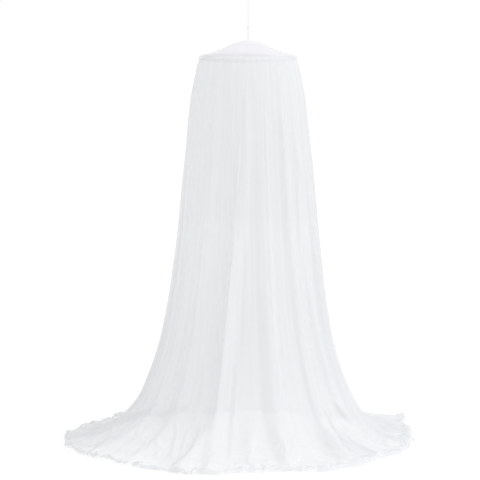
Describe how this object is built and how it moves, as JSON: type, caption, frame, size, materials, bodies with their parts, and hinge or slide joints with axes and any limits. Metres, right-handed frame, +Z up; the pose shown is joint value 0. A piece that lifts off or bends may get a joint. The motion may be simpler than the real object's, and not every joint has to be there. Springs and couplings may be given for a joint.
{
  "type": "mosquito net canopy and hoop",
  "caption": "Round hanging mosquito net: a hoop under a shallow cloth cap, a long sheer net that falls in folds and pools on the floor, hung by a cord from a ceiling hook.",
  "frame": {"origin": "middle of the ceiling hook plate's flat top, which meets the ceiling", "axes": "+Z up, through the hook, the cord and the cap's peak; the front faces -Y and +X is to the right; the floor that the net pools on is at Z = -2.72 m"},
  "size_m": [2.1754, 2.2123, 2.718],
  "materials": {
    "netting": "sheer soft white mosquito netting, fine even mesh",
    "cap_cloth": "smooth white woven cloth, denser than the net",
    "cord": "thin white twisted cord",
    "hoop_plastic": "plain white plastic rod",
    "hook_paint": "satin white paint"
  },
  "bodies": {
    "root": {"ceiling_hook": "hook_paint", "cord_loop": "cord", "knot": "cord", "cord_stem": "cord", "cap": "cap_cloth", "hoop": "hoop_plastic", "net": "netting"}
  },
  "joints": []
}
